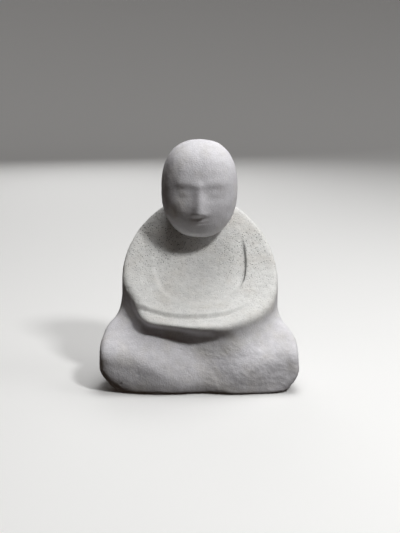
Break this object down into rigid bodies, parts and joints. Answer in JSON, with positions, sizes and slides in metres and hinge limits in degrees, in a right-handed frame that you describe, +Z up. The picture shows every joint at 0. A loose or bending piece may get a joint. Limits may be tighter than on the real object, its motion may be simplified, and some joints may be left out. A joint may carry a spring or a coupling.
{
  "type": "abstract buddha statue",
  "caption": "Small seated meditating figure, solid cast: egg-shaped head, slanted disc of folded arms over a drum-like torso, broad crossed legs and a flat underside.",
  "frame": {"origin": "on the flat underside, below the middle of the drum-shaped torso", "axes": "+Z up, +X to the viewer's right when the face looks at the viewer, -Y towards the viewer"},
  "size_m": [0.1197, 0.0768, 0.146],
  "materials": {
    "cast_stone": "matte"
  },
  "bodies": {
    "root": {"buddha_figure": "cast_stone"}
  },
  "joints": []
}
